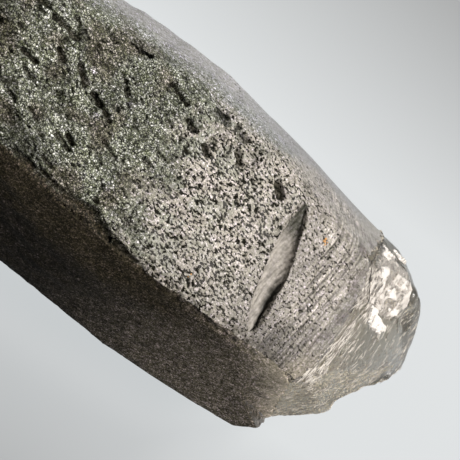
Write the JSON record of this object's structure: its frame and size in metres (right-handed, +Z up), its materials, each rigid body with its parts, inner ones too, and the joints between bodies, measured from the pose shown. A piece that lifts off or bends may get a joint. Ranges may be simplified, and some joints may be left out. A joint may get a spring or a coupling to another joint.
{
  "type": "chlorite-included quartz crystal",
  "caption": "Single prismatic quartz crystal filled and crusted with green-grey chlorite, with a clear rim, a long pocket and a worn, broken point, lying on a prism face.",
  "frame": {"origin": "centre of the bounding box, on the surface that the crystal rests on", "axes": "+X along the crystal from its broken root to its point, +Z up out of the main prism face"},
  "size_m": [0.1174, 0.0444, 0.0351],
  "materials": {
    "chlorite_quartz": "granular green-grey chlorite in and under clear quartz, satin to glossy"
  },
  "bodies": {
    "root": {"quartz_crystal": "chlorite_quartz"}
  },
  "joints": []
}
